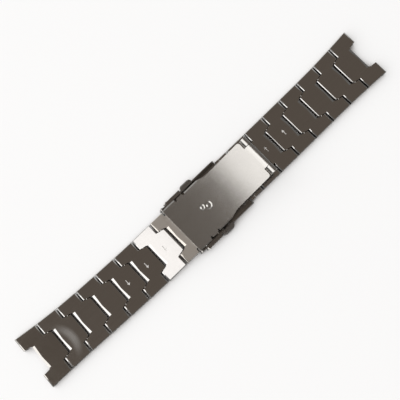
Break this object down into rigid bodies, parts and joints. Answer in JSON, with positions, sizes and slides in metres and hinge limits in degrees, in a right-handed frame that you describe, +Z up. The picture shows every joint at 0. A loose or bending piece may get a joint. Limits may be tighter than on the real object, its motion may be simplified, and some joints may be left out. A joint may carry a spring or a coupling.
{
  "type": "metal link watch bracelet",
  "caption": "All-metal link bracelet with flared notched end links and a folding clasp with two push buttons, shown closed and laid flat with its inner side up.",
  "frame": {"origin": "on the table under the middle of the laid-out bracelet, midway between the two tips and the two sides", "axes": "+X along the bracelet towards the strand that the folding blades carry, +Y across it, +Z up, away from the outer faces and towards the wrist side"},
  "size_m": [0.1738, 0.0268, 0.0103],
  "materials": {
    "link_steel": "fine brushed along the bracelet, edges polished",
    "blade_steel": "fine brushed across, edges polished",
    "cover_steel": "brushed, edges polished",
    "button_steel": "satin",
    "guide_steel": "satin",
    "spring_steel": "drawn wire",
    "polished_pin": "polished"
  },
  "bodies": {
    "cover": {"clasp_cover": "cover_steel", "hinge_rivets": "polished_pin", "latch_guide": "guide_steel", "spring_bar_tube": "polished_pin", "spring_bar_tips": "polished_pin", "spring_bar_spring": "spring_steel", "button_spring_left": "spring_steel", "button_spring_right": "spring_steel"},
    "inner_blade": {"inner_blade": "blade_steel", "catch_post": "polished_pin"},
    "middle_blade": {"middle_blade": "blade_steel", "knuckle_pin": "polished_pin", "blade_link_pin": "polished_pin"},
    "button_left": {"push_button_left": "button_steel"},
    "button_right": {"push_button_right": "button_steel"},
    "cover_link": {"cover_link": "link_steel", "pin_a7": "polished_pin"},
    "blade_link": {"blade_link": "link_steel", "pin_b7": "polished_pin"},
    "link_a7": {"link_a7": "link_steel", "pin_a6": "polished_pin"},
    "link_a6": {"link_a6": "link_steel", "pin_a5": "polished_pin"},
    "link_a5": {"link_a5": "link_steel", "pin_a4": "polished_pin"},
    "link_a4": {"link_a4": "link_steel", "pin_a3": "polished_pin"},
    "link_a3": {"link_a3": "link_steel", "pin_a2": "polished_pin"},
    "link_a2": {"link_a2": "link_steel", "pin_a1": "polished_pin"},
    "end_link_a": {"end_link_a": "link_steel"},
    "link_b7": {"link_b7": "link_steel", "pin_b6": "polished_pin"},
    "link_b6": {"link_b6": "link_steel", "pin_b5": "polished_pin"},
    "link_b5": {"link_b5": "link_steel", "pin_b4": "polished_pin"},
    "link_b4": {"link_b4": "link_steel", "pin_b3": "polished_pin"},
    "link_b3": {"link_b3": "link_steel", "pin_b2": "polished_pin"},
    "link_b2": {"link_b2": "link_steel", "pin_b1": "polished_pin"},
    "end_link_b": {"end_link_b": "link_steel"}
  },
  "joints": [
    {"name": "clasp_open", "type": "hinge", "parent": "cover", "child": "inner_blade", "pos_m": [-0.01292, -0.00073, 0.00501], "axis": [0, 1, 0], "range_deg": [-110, 0]},
    {"name": "blade_unfold", "type": "hinge", "parent": "inner_blade", "child": "middle_blade", "pos_m": [0.02708, -0.00073, 0.00876], "axis": [0, 1, 0], "range_deg": [-132, 0]},
    {"name": "strand_unfold", "type": "hinge", "parent": "middle_blade", "child": "blade_link", "pos_m": [0.00998, -0.00073, 0.00175], "axis": [0, 1, 0], "range_deg": [0, 165]},
    {"name": "button_left_push", "type": "slide", "parent": "cover", "child": "button_left", "axis": [0, -1, 0], "range_m": [0, 0.0008], "stiffness_N_per_m": 300, "deforming": ["button_spring_left"]},
    {"name": "button_right_push", "type": "slide", "parent": "cover", "child": "button_right", "axis": [0, 1, 0], "range_m": [0, 0.0008], "stiffness_N_per_m": 300, "deforming": ["button_spring_right"]},
    {"name": "bar_swing", "type": "hinge", "parent": "cover", "child": "cover_link", "pos_m": [-0.00992, -0.00073, 0.00265], "axis": [0, 1, 0], "range_deg": [-4, 4]},
    {"name": "curl_a7", "type": "hinge", "parent": "cover_link", "child": "link_a7", "pos_m": [-0.01827, -0.00073, 0.00315], "axis": [0, 1, 0], "range_deg": [-2.9, 42]},
    {"name": "curl_b7", "type": "hinge", "parent": "blade_link", "child": "link_b7", "pos_m": [0.01878, -0.00073, 0.002], "axis": [0, -1, 0], "range_deg": [-3.5, 0]},
    {"name": "curl_a6", "type": "hinge", "parent": "link_a7", "child": "link_a6", "pos_m": [-0.02765, -0.00063, 0.002], "axis": [0.0108, 0.9999, 0], "range_deg": [-10, 35]},
    {"name": "curl_b6", "type": "hinge", "parent": "link_b7", "child": "link_b6", "pos_m": [0.02823, -0.00073, 0.002], "axis": [0, -1, 0], "range_deg": [-10, 25]},
    {"name": "curl_a5", "type": "hinge", "parent": "link_a6", "child": "link_a5", "pos_m": [-0.0371, -0.00043, 0.002], "axis": [0.0216, 0.9998, 0], "range_deg": [-10, 35]},
    {"name": "curl_b5", "type": "hinge", "parent": "link_b6", "child": "link_b5", "pos_m": [0.03768, -0.00071, 0.002], "axis": [0.0028, -1, 0], "range_deg": [-10, 35]},
    {"name": "curl_a4", "type": "hinge", "parent": "link_a5", "child": "link_a4", "pos_m": [-0.04654, -0.00012, 0.002], "axis": [0.0325, 0.9995, 0], "range_deg": [-10, 35]},
    {"name": "curl_b4", "type": "hinge", "parent": "link_b5", "child": "link_b4", "pos_m": [0.04713, -0.00065, 0.002], "axis": [0.0056, -1, 0], "range_deg": [-10, 35]},
    {"name": "curl_a3", "type": "hinge", "parent": "link_a4", "child": "link_a3", "pos_m": [-0.05598, 0.00029, 0.002], "axis": [0.0433, 0.9991, 0], "range_deg": [-10, 35]},
    {"name": "curl_b3", "type": "hinge", "parent": "link_b4", "child": "link_b3", "pos_m": [0.05658, -0.00057, 0.002], "axis": [0.0084, -1, 0], "range_deg": [-10, 35]},
    {"name": "curl_a2", "type": "hinge", "parent": "link_a3", "child": "link_a2", "pos_m": [-0.06542, 0.0008, 0.002], "axis": [0.0541, 0.9985, 0], "range_deg": [-10, 35]},
    {"name": "curl_b2", "type": "hinge", "parent": "link_b3", "child": "link_b2", "pos_m": [0.06603, -0.00047, 0.002], "axis": [0.0112, -0.9999, 0], "range_deg": [-10, 35]},
    {"name": "curl_a1", "type": "hinge", "parent": "link_a2", "child": "end_link_a", "pos_m": [-0.07485, 0.00141, 0.002], "axis": [0.0649, 0.9979, 0], "range_deg": [-10, 35]},
    {"name": "curl_b1", "type": "hinge", "parent": "link_b2", "child": "end_link_b", "pos_m": [0.07548, -0.00034, 0.002], "axis": [0.014, -0.9999, 0], "range_deg": [-10, 35]}
  ],
  "couplings": [
    {"joint": "blade_unfold", "follows": "clasp_open", "ratio": 1.2},
    {"joint": "strand_unfold", "follows": "clasp_open", "ratio": -1.5}
  ]
}
